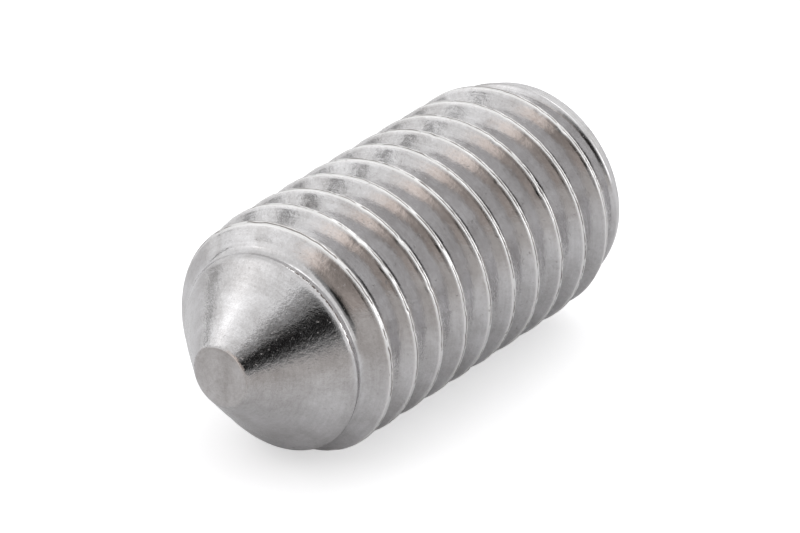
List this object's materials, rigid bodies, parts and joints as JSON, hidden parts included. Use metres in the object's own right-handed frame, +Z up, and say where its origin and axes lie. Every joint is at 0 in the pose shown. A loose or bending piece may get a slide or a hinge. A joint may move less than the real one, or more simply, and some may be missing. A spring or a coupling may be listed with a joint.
{
  "type": "grub set screw with cone point",
  "caption": "Headless socket set screw: fully threaded stainless body with a truncated cone point and a hexagon socket in the far end.",
  "frame": {"origin": "on the surface that the screw lies on, under the middle of its length and its axis", "axes": "+Y along the screw's axis towards the socket face, +Z up, +X to the right seen from the point"},
  "size_m": [0.0078, 0.0158, 0.0078],
  "materials": {
    "stainless_steel": "bright rolled stainless steel, satin in the thread, with fine nicks and a rolled seam along the crests"
  },
  "bodies": {
    "root": {"set_screw": "stainless_steel"}
  },
  "joints": []
}
